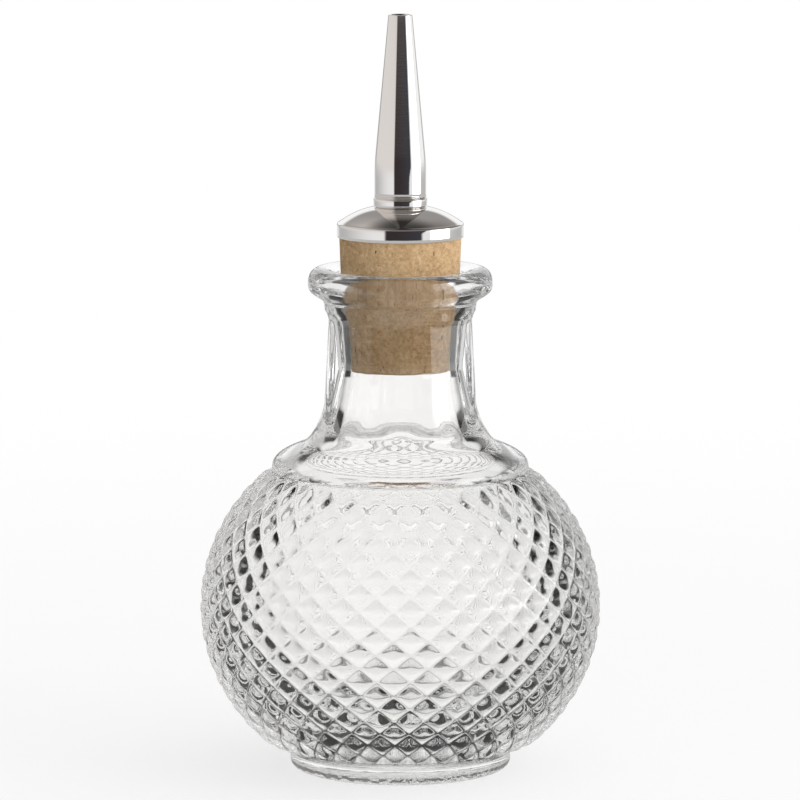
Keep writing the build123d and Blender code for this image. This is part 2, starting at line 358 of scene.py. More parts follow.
def globePoints():
    # Rows from the foot up to the seam. The angle on the globe's ellipse goes with the row,
    # eased by a cubic. Each point stands out by the pillow's height times
    # ((1 - |a|^n)(1 - |b|^n))^m, where a and b run from -1 to 1 between a diamond's grooves.
    g = globe
    row = np.arange(g["rows"] * g["rowSamples"] + 1) / g["rowSamples"]
    low = math.asin((g["bottomHeight"] - g["centreHeight"]) / g["halfHeight"])
    high = math.asin((g["seamHeight"] - g["centreHeight"]) / g["halfHeight"])
    along = 2 * row / g["rows"] - 1
    angle = ease(low, high, (1 + along + g["crowding"] * (along ** 3 - along)) / 2)[:, None]
    column = (np.arange(columns) / g["samples"])[None]
    a = np.abs(2 * ((column + row[:, None] / 2) % 1) - 1)
    b = np.abs(2 * ((column - row[:, None] / 2) % 1) - 1)
    flat = g["pillowFlatness"]
    pillow = ((1 - a ** flat) * (1 - b ** flat)) ** g["pillowSpread"]
    fade = np.clip(np.minimum(row, g["rows"] - row)[:, None] / g["endFade"], 0, 1)
    proud = g["pillowHeight"] * pillow * fade
    turn = firstTurn + 2 * math.pi * column / g["columns"]
    radius = (g["radius"] + proud) * np.cos(angle)
    height = g["centreHeight"] + (g["halfHeight"] + proud) * np.sin(angle)
    return ringPoints(radius, height, turn)


def globeFaces(first):
    # Each cell is split along the groove that runs nearest to it
    rows, period = globe["rows"] * globe["rowSamples"] + 1, globe["samples"]
    row, column, a, b, c, d = gridCorners(rows, columns, first)
    toSecond = np.abs((column + row + 1 + period // 2) % period - period // 2)
    toFirst = np.abs((column - row + period // 2) % period - period // 2)
    rising = (toFirst < toSecond)[..., None]
    one = np.where(rising, np.stack([a, b, c], -1), np.stack([a, b, d], -1))
    two = np.where(rising, np.stack([a, c, d], -1), np.stack([b, c, d], -1))
    return np.concatenate([one.reshape(-1, 3), two.reshape(-1, 3)])


def footOutline():
    # From the middle of the push-up out to the resting ring, round its edge and up the band
    f = foot
    flatOuter = f["radius"] - f["rounding"]
    flatInner = flatOuter - f["flatWidth"]
    share = np.linspace(f["pushUpStart"], 1, 9)
    hollow = np.stack([flatInner * share, f["pushUp"] * (1 - share ** 2)], 1)
    ring = straightLine((flatInner, 0), (flatOuter, 0), 4)
    edge = ellipseArc((flatOuter, f["rounding"]), f["rounding"], f["rounding"], -math.pi / 2, 0, 8)
    side = straightLine((f["radius"], f["rounding"]), (f["radius"], f["height"]), 2)
    bandTop = (f["bandRadius"], globe["bottomHeight"] - f["bandGap"])
    band = bezierLine(side[-1], f["bandLeave"], f["bandArrive"], bandTop, 6)
    return joinLines(hollow, ring, edge, side, band)


def shoulderOutline():
    # Step over the relief, upright ring, rolled edge, then the flare to just under the lip
    s, n = shoulder, neck
    stepStart = (s["radius"] - s["stepIn"], globe["seamHeight"] - s["stepDrop"])
    stepTop = (s["radius"], globe["seamHeight"] + s["stepRise"])
    step = bezierLine(stepStart, s["stepLeave"], (0, -s["stepRise"]), stepTop, 4)
    upright = straightLine(stepTop, (s["radius"], s["rollStart"]), 3)
    top = (s["topRadius"], s["topHeight"])
    roll = bezierLine(upright[-1], s["rollLeave"], s["rollArrive"], top, 12)
    neckFoot = (n["bottomRadius"], n["bottomHeight"])
    flare = bezierLine(top, s["flareLeave"], s["flareArrive"], neckFoot, 15)
    side = straightLine(neckFoot, (n["topRadius"] + n["topSpread"], n["topHeight"]), 26)
    return joinLines(step, upright, roll, flare, side)


def panelRadius(height):
    # Distance of a panel from the axis: a straight line up the neck, plus a square law at its
    # foot (the scoop) and at its top (the turn), and steeper still past its ends.
    n = neck
    low, high = n["scoopTopHeight"], n["turnStartHeight"]
    lowest, highest = n["scoopEndHeight"], n["turnEndHeight"]
    flat = ease(n["bottomRadius"] - n["panelBottomDepth"], n["topRadius"] - n["panelTopDepth"],
                (height - low) / (high - low))
    scoop = n["scoopReach"] * (np.clip(low - height, 0, None) / (low - lowest)) ** 2
    turn = n["turnReach"] * (np.clip(height - high, 0, None) / (highest - high)) ** 2
    past = np.clip(lowest - height, 0, None) ** 2 + np.clip(height - highest, 0, None) ** 2
    return flat + scoop + turn + n["pastEnds"] * past


def neckPoints(outline, turns):
    # The smaller of the round radius and the panel's distance / cos(turn from its middle),
    # with their meeting line rounded: -w log(exp(-round / w) + exp(-panel / w))
    plain, height = outline[:, :1], outline[:, 1:]
    pitch = 2 * math.pi / neck["panels"]
    offset = (turns[None] + math.pi / 2 + pitch / 2) % pitch - pitch / 2
    panel = panelRadius(height) / np.cos(offset)
    width = neck["crestRounding"]
    gap = np.abs(plain - panel)
    radius = np.minimum(plain, panel) - width * np.log1p(np.exp(-gap / width))
    return ringPoints(radius, height, turns[None])


def insideOutline():
    # Over the lip, round the mouth, down the tapered seat and the root, and round the interior
    b, n, p = bore, neck, lip
    widest = (p["radius"], p["widestHeight"])
    low = bezierLine((n["topRadius"] + n["topSpread"], n["topHeight"]), p["lowLeave"],
                     p["lowArrive"], widest, 14)
    crown = (p["crownRadius"], p["crownHeight"])
    high = superellipseQuarter(widest, crown, p["highPower"], 14)
    mouthTop = (b["mouthRadius"] + b["mouthRounding"], p["mouthHeight"])
    seatTop = (b["mouthRadius"] - b["mouthIn"], p["mouthHeight"] - b["mouthRounding"])
    top = bezierLine(crown, p["topLeave"], p["topArrive"], mouthTop, 7)
    mouth = bezierLine(mouthTop, b["mouthLeave"], b["mouthArrive"], seatTop, 6)
    seat = straightLine(seatTop, (b["seatBottomRadius"], b["seatBottomHeight"]), 10)
    straight = straightLine(seat[-1], (b["rootTopRadius"], b["rootTopHeight"]), 12)
    widen = (straight[-1] - straight[0]) / np.linalg.norm(straight[-1] - straight[0])
    # The root meets the interior's ellipse along its slope
    centre = (0, globe["centreHeight"])
    angle = math.acos(b["rootRadius"] / b["innerRadius"])
    meet = (b["rootRadius"], centre[1] + b["innerHighHalf"] * math.sin(angle))
    slope = np.array([b["innerRadius"] * math.sin(angle), -b["innerHighHalf"] * math.cos(angle)])
    slope /= np.linalg.norm(slope)
    root = bezierLine(straight[-1], widen * b["rootTopHandle"], -slope * b["rootHandle"], meet, 30)
    dome = ellipseArc(centre, b["innerRadius"], b["innerHighHalf"], angle, 0, 26)
    floor = ellipseArc(centre, b["innerRadius"], b["innerLowHalf"],
                       0, b["poleGap"] - math.pi / 2, 26)
    return joinLines(low, high, top, mouth, seat, straight, root, dome, floor)


def stitchFaces(coarse, fine, count, fineAbove):
    # Joins a ring of count points to one of three times as many: four triangles for each step
    step = np.arange(count)
    c0, c1 = coarse + step, coarse + (step + 1) % count
    f = [fine + (3 * step + i) % (3 * count) for i in range(4)]
    faces = [(c0, f[1], f[0]), (c0, f[2], f[1]), (c0, c1, f[2]), (c1, f[3], f[2])]
    if not fineAbove:
        faces = [(a, c, b) for a, b, c in faces]
    return np.concatenate([np.stack(t, -1) for t in faces])


def buildGlass():
    # Rings of the foot, the globe, the neck and the inside, one after the other. The foot and
    # the inside have a third of the columns, and a fan to the axis closes each end.
    coarse = columns // 3
    fineTurns, coarseTurns = ringTurns(columns, firstTurn), ringTurns(coarse, firstTurn)
    footRings, globeRings = turnedRings(footOutline(), coarseTurns), globePoints()
    neckRings = neckPoints(shoulderOutline(), fineTurns)
    insideRings = turnedRings(insideOutline()[1:], coarseTurns)
    parts = footRings, globeRings, neckRings, insideRings
    starts = np.cumsum([0] + [part.shape[0] * part.shape[1] for part in parts])
    middles = [[0, 0, foot["pushUp"]], [0, 0, globe["centreHeight"] - bore["innerLowHalf"]]]
    points = np.concatenate([*(part.reshape(-1, 3) for part in parts), middles])
    step = np.arange(coarse)
    onward, lastRing = (step + 1) % coarse, starts[4] - coarse
    faces = np.concatenate([
        np.stack([np.full(coarse, starts[4]), onward, step], -1),
        gridFaces(len(footRings), coarse),
        stitchFaces(starts[1] - coarse, starts[1], coarse, True),
        globeFaces(starts[1]),
        gridFaces(2, columns, starts[2] - columns),
        gridFaces(len(neckRings), columns, starts[2]),
        stitchFaces(starts[3], starts[3] - columns, coarse, False),
        gridFaces(len(insideRings), coarse, starts[3]),
        np.stack([lastRing + step, lastRing + onward, np.full(coarse, starts[4] + 1)], -1)])
    return makeMesh("pressed_glass_bottle", points, faces)


bottle = buildGlass()
print("glass bottle made,", len(bottle.data.polygons), "triangles")


cork = {
    "bottomRadius": 7.95,
    "mouthRadius": 10.2,
    "headRadius": 10.45,
    "bottomHeight": 69.196,
    "mouthHeight": 85.646,
    "headHeight": 91.996,
    "topHeight": 93.196,
    "boreRadius": 2.6,
    "edgeRounding": 0.5,
    "edgeOut": 0.06,         # the side's first point, out from the bottom's radius
    "edgeLeave": (0.35, 0),
    "edgeArrive": (-0.06, -0.38),
    "columns": 360,
    "meanRadius": 9.5,
    "pits": 420,
    "pitSize": (0.12, 0.42),
    "pitStretch": (0.8, 2.0),
    "pitDepth": 0.32,
    "crumbs": 26,            # larger chips along the lower edge
    "crumbSize": (0.3, 0.8),
    "crumbDepth": 0.4,       # share of its size
    "crumbRise": 0.4,
    "bareIn": 0.6,           # only the side is pitted, from that far inside the bottom's radius
    "bareGap": 0.2,          # and up to that far below the cap
    "seed": 11,
}


def bell(turns, height, turn, level, radius, size, rise):
    # exp(-(distance round / size)^2 - (distance up / rise)^2)
    around = np.abs((turns[None] - turn + math.pi) % (2 * math.pi) - math.pi) * radius
    return np.exp(-(around / size) ** 2 - ((height - level) / rise) ** 2)


def buildCork():
    # Tapered side, flat ends and the tube's bore. The side is sunk by the deepest of many
    # bell-shaped pits, longer up the side than round it, and of the chips along its lower edge.
    k = cork
    edgeEnd = (k["bottomRadius"] + k["edgeOut"], k["bottomHeight"] + k["edgeRounding"])
    lowEdge = bezierLine((k["bottomRadius"] - k["edgeRounding"], k["bottomHeight"]),
                         k["edgeLeave"], k["edgeArrive"], edgeEnd, 5)
    side = straightLine(edgeEnd, (k["mouthRadius"], k["mouthHeight"]), 92)
    head = straightLine(side[-1], (k["headRadius"], k["headHeight"]), 32)
    capped = straightLine(head[-1], (k["headRadius"], k["topHeight"]), 3)
    under = straightLine((k["boreRadius"], k["bottomHeight"]), lowEdge[0], 18)
    top = straightLine(capped[-1], (k["boreRadius"], k["topHeight"]), 4)
    inner = straightLine(top[-1], under[0], 5)[:-1]
    outline = joinLines(under, lowEdge, side, head, capped, top, inner)
    radius = np.repeat(outline[:, :1], k["columns"], 1)
    height = np.repeat(outline[:, 1:], k["columns"], 1)
    turns = ringTurns(k["columns"])
    bare = ((outline[:, 0] > k["bottomRadius"] - k["bareIn"])
            & (outline[:, 1] < k["headHeight"] - k["bareGap"]))
    chance = np.random.default_rng(k["seed"])
    sunk = np.zeros(radius.shape)
    for turn, level, size, stretch, depth in zip(
            chance.uniform(0, 2 * math.pi, k["pits"]),
            chance.uniform(k["bottomHeight"], k["headHeight"], k["pits"]),
            chance.uniform(*k["pitSize"], k["pits"]), chance.uniform(*k["pitStretch"], k["pits"]),
            chance.uniform(0.25, 1.0, k["pits"]) ** 2):
        pit = bell(turns, height, turn, level, k["meanRadius"], size, size * stretch)
        sunk = np.maximum(sunk, k["pitDepth"] * depth * pit)
    for turn, size in zip(chance.uniform(0, 2 * math.pi, k["crumbs"]),
                          chance.uniform(*k["crumbSize"], k["crumbs"])):
        crumb = bell(turns, height, turn, k["bottomHeight"], k["bottomRadius"], size, k["crumbRise"])
        sunk = np.maximum(sunk, k["crumbDepth"] * size * crumb)
    radius = radius - sunk * bare[:, None]
    points = ringPoints(radius, height, turns[None]).reshape(-1, 3)
    faces = gridFaces(len(outline) + 1, k["columns"]) % len(points)
    return makeMesh("bonded_cork", points, faces)


corkPiece = buildCork()
print("cork made,", len(corkPiece.data.polygons), "triangles")


cap = {
    "skirtRadius": 10.85,
    "corkRadius": 10.45,
    "bottomHeight": 91.996,
    "bottomEdge": (0.05, 0.08),  # rounding of the skirt's foot inside and outside
    "corkTopHeight": 93.196,
    "rimHeight": 94.096,
    "rimRounding": 0.4,
    "rimOpen": 0.28,             # angle short of level at which the dome leaves the rim
    "topHeight": 97.146,
    "bossRadius": 4.3,
    "domeMiddleShare": 0.5,      # the dome's middle, out and up between the rim and the boss
    "domeBulgeShare": 0.67,
    "domeHandle": 0.667,         # two thirds make the cubic follow its quadratic
    "boreRadius": 2.6,
}
ferrule = {
    "radius": 4.6,
    "footRadius": 4.15,
    "edgeRounding": 0.25,
    "bottomHeight": 97.146,
    "topHeight": 98.746,
    "boreRadius": 2.6,
}
spout = {
    "baseRadius": 4.43,
    "shoulderRadius": 4.27,
    "bottomHeight": 98.746,
    "straightHeight": 101.6,
    "shoulderHeight": 106.0,
    "swellLowHandle": 1.6,
    "swellHighHandle": 1.5,
    "topHeight": 129.996,
    "tipRadius": 2.05,
    "tipRounding": 0.12,
    "tipHandle": 0.09,
    "wall": 0.5,
}
metalColumns = 256


def capOutline():
    # Under the dome, down inside the skirt, up its side, over its rim and along the dome
    c = cap
    innerEdge, outerEdge = c["bottomEdge"]
    corkTop = (c["corkRadius"], c["corkTopHeight"])
    inside = joinLines(
        straightLine((c["boreRadius"], c["corkTopHeight"]), corkTop, 6),
        straightLine(corkTop, (c["corkRadius"], c["bottomHeight"] + innerEdge), 4))
    edge = bezierLine(inside[-1], (0, -innerEdge), (0, -outerEdge),
                      (c["skirtRadius"], c["bottomHeight"] + outerEdge), 7)
    side = straightLine(edge[-1], (c["skirtRadius"], c["rimHeight"]), 5)
    rim = ellipseArc((c["skirtRadius"] - c["rimRounding"], c["rimHeight"]),
                     c["rimRounding"], c["rimRounding"], 0, math.pi / 2 - c["rimOpen"], 9)
    boss = np.array((c["bossRadius"], c["topHeight"]))
    middle = np.array((ease(rim[-1][0], boss[0], c["domeMiddleShare"]),
                       ease(rim[-1][1], boss[1], c["domeBulgeShare"])))
    handle = 2 * middle - (rim[-1] + boss) / 2  # of the quadratic curve through the middle
    dome = bezierLine(rim[-1], (handle - rim[-1]) * c["domeHandle"],
                      (handle - boss) * c["domeHandle"], boss, 28)
    top = straightLine(boss, (c["boreRadius"], c["topHeight"]), 3)
    boreSide = straightLine(top[-1], inside[0], 4)[:-1]
    return joinLines(inside, edge, side, rim, dome, top, boreSide)


def ferruleOutline():
    # Small foot that curves out to the ring's side, then its rounded upper edge
    f = ferrule
    width, rounding = f["radius"] - f["footRadius"], f["edgeRounding"]
    footCurve = ellipseArc((f["footRadius"], f["bottomHeight"] + width), width, width,
                           -math.pi / 2, 0, 9)
    side = straightLine(footCurve[-1], (f["radius"], f["topHeight"] - rounding), 4)
    edge = ellipseArc((f["radius"] - rounding, f["topHeight"] - rounding), rounding, rounding,
                      0, math.pi / 2, 7)
    top = straightLine(edge[-1], (f["boreRadius"], f["topHeight"]), 3)
    inner = straightLine(top[-1], (f["boreRadius"], f["bottomHeight"]), 3)
    under = straightLine(inner[-1], footCurve[0], 3)[:-1]
    return joinLines(footCurve, side, edge, top, inner, under)


def spoutOutline():
    # Straight foot, soft swell, long taper, rolled tip and the tapered bore
    s = spout
    straight = straightLine((s["baseRadius"], s["bottomHeight"]),
                            (s["baseRadius"], s["straightHeight"]), 4)
    narrowing = (s["shoulderRadius"] - s["tipRadius"]) / (s["topHeight"] - s["shoulderHeight"])
    swell = bezierLine(straight[-1], (0, s["swellLowHandle"]),
                       (s["swellHighHandle"] * narrowing, -s["swellHighHandle"]),
                       (s["shoulderRadius"], s["shoulderHeight"]), 12)
    taper = straightLine(swell[-1], (s["tipRadius"], s["topHeight"] - s["tipRounding"]), 20)
    tip = bezierLine(taper[-1], (0, s["tipHandle"]), (s["tipHandle"], 0),
                     (s["tipRadius"] - s["tipRounding"], s["topHeight"]), 5)
    end = straightLine(tip[-1], (s["tipRadius"] - s["wall"], s["topHeight"]), 3)
    inner = straightLine(end[-1], (s["baseRadius"] - s["wall"], s["bottomHeight"]), 16)
    under = straightLine(inner[-1], straight[0], 3)[:-1]
    return joinLines(straight, swell, taper, tip, end, inner, under)


capPiece = turnedPiece("metal_cap", capOutline(), metalColumns)
ferrulePiece = turnedPiece("metal_ferrule", ferruleOutline(), metalColumns)
spoutPiece = turnedPiece("metal_spout", spoutOutline(), metalColumns)
print("metal top made")


# In the dictionaries of finishes a scale is repeats for each metre, and a bump is its
# strength and its height in metres.
glassFinish = {
    "tints": ((0.992, 0.986, 0.976, 1), (1.0, 0.998, 0.992, 1)),
    "driftScale": 120.0,
    "driftBump": (0.10, 0.0006),
    "fineScale": 900.0,
    "fineRoughness": 0.012,
    "ringHeights": (0.0003, 0.0016),  # the resting ring's stipple ends between these
    "stippleScale": 800.0,
    "stippleRoughness": (0.02, 0.40),
    "stippleBumpScale": 900.0,
    "stippleBump": (1.0, 0.0012),
    "refraction": 1.5,
}
corkFinish = {
    "wanderScale": 900.0,
    "wander": 0.0009,         # metres that the granules' outlines wander
    "granuleScale": 1000.0,
    "grainScale": 1500.0,
    "fineScale": 5200.0,
    "broadScale": 200.0,
    "tans": [(0.0, (0.33, 0.19, 0.088)), (0.3, (0.52, 0.332, 0.168)),
             (0.6, (0.66, 0.45, 0.247)), (1.0, (0.84, 0.62, 0.38))],
    "tanShares": (0.18, 0.40, 0.24, 0.18),  # of granules, grain, fine and broad
    "seamWidth": 0.07,
    "seamTone": 0.86,
    "speckScale": 2600.0,
    "speckTone": 0.35,
    "slitScale": 900.0,
    "slitLength": 0.45,       # the smaller, the longer they are up the side
    "slitTone": 0.22,
    "crevice": (0.10, 0.055, 0.028, 1),
    "bump": (0.7, 0.00022),
    "roughness": (0.72, 0.92),
    "gloss": 0.25,
}
metalFinish = {
    "tints": ((0.90, 0.885, 0.87, 1), (0.86, 0.85, 0.845, 1)),
    "tintScale": 70.0,
    "lineScale": 420.0,       # polish lines run round the axis
    "lineSquash": 9.0,
    "roughness": (0.035, 0.10),
    "bump": (0.03, 0.0001),
}
tubeFinish = {
    "tints": ((0.48, 0.48, 0.49, 1), (0.66, 0.66, 0.67, 1)),
    "lineScale": 600.0,       # drawing lines run along the tube
    "lineSquash": 9.0,
    "roughness": (0.25, 0.42),
    "bump": (0.1, 0.0001),
}
plugFinish = {
    "tints": ((0.80, 0.80, 0.77, 1), (0.88, 0.88, 0.86, 1)),
    "tintScale": 300.0,
    "fineScale": 2400.0,
    "roughness": (0.38, 0.55),
    "bump": (0.15, 0.00005),
}


def clearGlass():
    # Smooth clear glass whose surface drifts a little, with a stipple on the resting ring
    g = glassFinish
    made, f, place = newMaterial("clear_pressed_glass")
    slow, fine = f.noise(place, g["driftScale"]), f.noise(place, g["fineScale"], 3.0)
    z = f.add("ShaderNodeSeparateXYZ", {}, {0: place}, 2)
    ring = f.ramp(z, *g["ringHeights"], 1.0, 0.0)
    stipple = f.ramp(f.noise(place, g["stippleScale"]), 0.35, 0.65, *g["stippleRoughness"])
    roughness = f.ramp(fine, 0.45, 0.75, 0.0, g["fineRoughness"]) + ring * stipple
    height = ring * f.noise(place, g["stippleBumpScale"], 1.0)
    f.polish(BaseColor=f.blend(slow, *g["tints"]), Roughness=roughness, IOR=g["refraction"],
             TransmissionWeight=1.0,
             Normal=f.bump(height, *g["stippleBump"], f.bump(slow, *g["driftBump"])))
    return made


def bondedCork():
    # Tan granules with wandering outlines, grain over them, and dark seams, specks and slits
    c = corkFinish
    made, f, place = newMaterial("bonded_cork")
    drift = f.add("ShaderNodeTexNoise", {}, {
        "Vector": place, "Scale": c["wanderScale"], "Detail": 3.0}, 1)
    bent = f.add("ShaderNodeVectorMath", {"operation": "MULTIPLY_ADD"}, {
        0: drift, 1: (c["wander"],) * 3, 2: place})
    granules = f.add("ShaderNodeTexVoronoi", {"feature": "F1"}, {
        "Vector": bent, "Scale": c["granuleScale"], "Randomness": 1.0}, 1)
    edges = f.add("ShaderNodeTexVoronoi", {"feature": "DISTANCE_TO_EDGE"}, {
        "Vector": bent, "Scale": c["granuleScale"]})
    shade = f.add("ShaderNodeSeparateColor", {}, {"Color": granules})
    grain = f.ramp(f.noise(place, c["grainScale"], 5.0, 0.7), 0.30, 0.70)
    fine = f.noise(place, c["fineScale"], 4.0, 0.7)
    broad = f.ramp(f.noise(place, c["broadScale"], 3.0, 0.6), 0.30, 0.70)
    ofShade, ofGrain, ofFine, ofBroad = c["tanShares"]
    tone = ofShade * shade + ofGrain * grain + ofFine * fine + ofBroad * broad
    tan = f.add("ShaderNodeValToRGB", {"stops": c["tans"]}, {"Fac": tone})
    seam = f.ramp(edges, 0.0, c["seamWidth"], c["seamTone"], 1.0)
    specks = f.ramp(f.noise(place, c["speckScale"], 2.0, 0.5), 0.66, 0.74, 1.0, c["speckTone"])
    tall = f.stretch(place, 1.0, 1.0, c["slitLength"])
    slits = f.ramp(f.noise(tall, c["slitScale"], 3.0, 0.65), 0.665, 0.72, 1.0, c["slitTone"])
    height = grain * 0.4 + fine * 0.3 + seam * 0.2 + specks * 0.4 + slits * 0.9
    f.polish(BaseColor=f.blend(1 - seam * specks * slits, tan, c["crevice"]),
             Roughness=f.ramp(fine, 0.3, 0.7, *c["roughness"]), SpecularIORLevel=c["gloss"],
             Normal=f.bump(height, *c["bump"]))
    return made


def polishedMetal():
    # Bright plate with faint polish lines round it
    m = metalFinish
    made, f, place = newMaterial("polished_metal")
    lines = f.noise(f.stretch(place, 1.0, 1.0, m["lineSquash"]), m["lineScale"], 4.0, 0.7)
    f.polish(BaseColor=f.blend(f.noise(place, m["tintScale"]), *m["tints"]), Metallic=1.0,
             Roughness=f.ramp(lines, 0.5, 0.8, *m["roughness"]), Normal=f.bump(lines, *m["bump"]))
    return made


def satinSteel():
    # Drawn tube with lines along it
    t = tubeFinish
    made, f, place = newMaterial("satin_steel")
    squash = t["lineSquash"]
    lines = f.noise(f.stretch(place, squash, squash, 1.0), t["lineScale"], 4.0, 0.7)
    f.polish(BaseColor=f.blend(lines, *t["tints"]), Metallic=1.0,
             Roughness=f.ramp(lines, 0.3, 0.7, *t["roughness"]), Normal=f.bump(lines, *t["bump"]))
    return made


def palePlastic():
    # Moulded plug with a fine dull grain
    p = plugFinish
    made, f, place = newMaterial("pale_plastic")
    fine, broad = f.noise(place, p["fineScale"], 3.0), f.noise(place, p["tintScale"])
    f.polish(BaseColor=f.blend(broad, *p["tints"]), Roughness=f.ramp(fine, 0.3, 0.7, *p["roughness"]),
             Normal=f.bump(fine, *p["bump"]))
    return made


wear(bottle, clearGlass())
wear(corkPiece, bondedCork())
metal = polishedMetal()
for piece in (capPiece, ferrulePiece, spoutPiece):
    wear(piece, metal)
wear(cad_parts["shank_tube"], satinSteel())
wear(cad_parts["dash_restrictor"], palePlastic())
print("finishes made")


# Directions in these dictionaries are degrees round from the front, right is positive.
studio = {
    "lightLevel": 0.90,      # what diffuse surfaces receive from all round
    "lightTilt": 0.85,       # how much more of it comes from the right than from the left
    "darkFrom": -28.0,
    "darkTo": 49.0,
    "darkNarrows": 9.0,      # the dark front is that much narrower below the horizon
    "darkEdge": 3.0,
    "darkLeft": (0.040, 0.031, 0.032, 1),
    "darkRight": (0.046, 0.047, 0.058, 1),
    "leftPanel": (0.78, 0.74, 0.715, 1),
    "rightPanel": (1.0, 1.0, 1.0, 1),
    "backShade": 0.62,       # how much the panels darken towards the back
    "belowFront": 0.88,      # tones below the horizon
    "belowSide": 0.50,
    "belowBack": 0.35,
    "ceilingDark": (0.21, 0.19, 0.175, 1),
    "ceilingLight": (0.64, 0.585, 0.55, 1),
    "ceilingLightArc": (-150.0, -35.0, 18.0),
    "ceilingBack": 0.6,
    "zenith": 0.16,          # share of the ceiling's tone left straight above
    "window": 2.0,           # how much brighter the right panel's middle is than plain white
    "windowArc": (58.0, 100.0),
    "innerFront": 0.84,      # tones that the glass shows in its inner reflections
    "innerFrontArc": (-30.0, 108.0, 5.0),
    "innerLeftBack": 0.50,
    "innerLeftEdge": (-152.0, -144.0),
    "innerRightBack": 0.22,
    "innerRightEdge": (138.0, 165.0),
    "innerDark": 0.008,
    "innerCeiling": 0.88,
}


def compass(f, direction):
    # Degrees round from the front, atan2(x, -y), and the same without their sign
    x, y = (f.add("ShaderNodeSeparateXYZ", {}, {0: direction}, i) for i in range(2))
    around = f.maths("ARCTAN2", x, 0 - y) * (180 / math.pi)
    return around, f.maths("ABSOLUTE", around)


def arc(f, around, start, end, soft=4.0):
    # 1 between two directions and 0 outside them, with soft ends
    return f.ramp(around, start - soft, start + soft) * f.ramp(around, end - soft, end + soft, 1.0, 0.0)


def rayKinds(f):
    # What the ray is, and whether it has been mirrored, in glass or scattered before: 1 or 0
    kinds = {
        "camera": "Is Camera Ray", "through": "Is Transmission Ray", "mirrored": "Glossy Depth",
        "inGlass": "Transmission Depth", "scattered": "Diffuse Depth"}
    found = {name: f.add("ShaderNodeLightPath", output=output) for name, output in kinds.items()}
    for name in ("mirrored", "inGlass", "scattered"):
        found[name] = f.maths("GREATER_THAN", found[name], 0.5)
    return found


def outerRoom(f, around, aside, z, window):
    # What metal and the outside of the glass mirror: a dark front between a light grey side
    # and a white side, both darker towards the back, white straight behind, plain greys below
    # the horizon, and a brown grey ceiling that is dark straight above.
    s = studio
    down, behind = f.ramp(z, -0.12, -0.02, 1.0, 0.0), f.ramp(aside, 140.0, 160.0)
    level = f.blend(f.ramp(around, -4.0, 4.0), s["leftPanel"], s["rightPanel"])
    level = f.blend(f.ramp(aside, 138.0, 148.0, 0.0, s["backShade"]), level, grey(0.0))
    below = (f.ramp(aside, 40.0, 134.0, s["belowFront"], s["belowSide"])
             + f.ramp(aside, 140.0, 160.0, 0.0, s["belowBack"]))
    level = f.blend(down, level, below)
    edge, narrowed = s["darkEdge"], around + down * s["darkNarrows"]
    dark = (f.ramp(around, s["darkFrom"] - edge, s["darkFrom"] + edge)
            * f.ramp(narrowed, s["darkTo"] - edge, s["darkTo"] + edge, 1.0, 0.0))
    level = f.blend(dark, level, f.blend(f.ramp(around, -10.0, 45.0), s["darkLeft"], s["darkRight"]))
    level = f.blend(behind * f.ramp(z, 0.02, 0.08), level, grey(1.0))
    lightCeiling = arc(f, around, *s["ceilingLightArc"])
    ceiling = f.blend(lightCeiling, s["ceilingDark"], s["ceilingLight"])
    ceiling = f.blend(behind * 0.3, ceiling, grey(s["ceilingBack"]))
    ceiling = f.blend(f.ramp(z, 0.75, 0.97, 0.0, 1.0 - s["zenith"]), ceiling, grey(0.0))
    over = f.ramp(z - 0.26 * behind, 0.06, 0.20)  # the ceiling starts higher at the back
    return f.blend(1.0, f.blend(over, level, ceiling), window, "ADD")


def innerRoom(f, around, z, window):
    # What the glass shows in its inner reflections: a bright front, a half bright back on the
    # left, a darker one on the right, next to nothing between them, and a bright ceiling.
    s = studio
    low = f.ramp(z, 0.16, 0.34, 1.0, 0.0)
    front = arc(f, around, *s["innerFrontArc"]) * s["innerFront"]
    leftBack = f.ramp(around, *s["innerLeftEdge"], 1.0, 0.0) * s["innerLeftBack"]
    rightBack = f.ramp(around, *s["innerRightEdge"]) * s["innerRightBack"]
    ring = front + leftBack + rightBack + s["innerDark"]
    return low * ring + (1 - low) * s["innerCeiling"] + window


def studioWorld():
    # The camera, and rays that only pass through glass, see plain white. Mirrored rays see the
    # outer room, or the inner one where they have been in glass. Diffuse surfaces get a soft
    # light, level * (1 + tilt * x), where x points to the right.
    world = bpy.data.worlds.new("studio")
    world.use_nodes = True
    bpy.context.scene.world = world
    f = Finish(world.node_tree)
    direction, ray = f.add("ShaderNodeTexCoord"), rayKinds(f)
    x, z = (f.add("ShaderNodeSeparateXYZ", {}, {0: direction}, i) for i in (0, 2))
    around, aside = compass(f, direction)
    window = (arc(f, around, *studio["windowArc"]) * f.ramp(z, 0.20, 0.36, 1.0, 0.0)
              * f.ramp(z, -0.30, -0.20) * studio["window"])
    outer, inner = outerRoom(f, around, aside, z, window), innerRoom(f, around, z, window)
    seen = f.blend(ray["mirrored"], grey(1.0), f.blend(ray["inGlass"], outer, inner))
    soft = studio["lightLevel"] * (1 + studio["lightTilt"] * x)
    unlit = f.maths("MAXIMUM", ray["through"], ray["mirrored"]) * (1 - ray["scattered"])
    colour = f.blend(ray["camera"], f.blend(unlit, soft, seen), grey(1.0))
    back = f.add("ShaderNodeBackground", {}, {"Color": colour, "Strength": 1.0})
    f.show(back, "ShaderNodeOutputWorld")


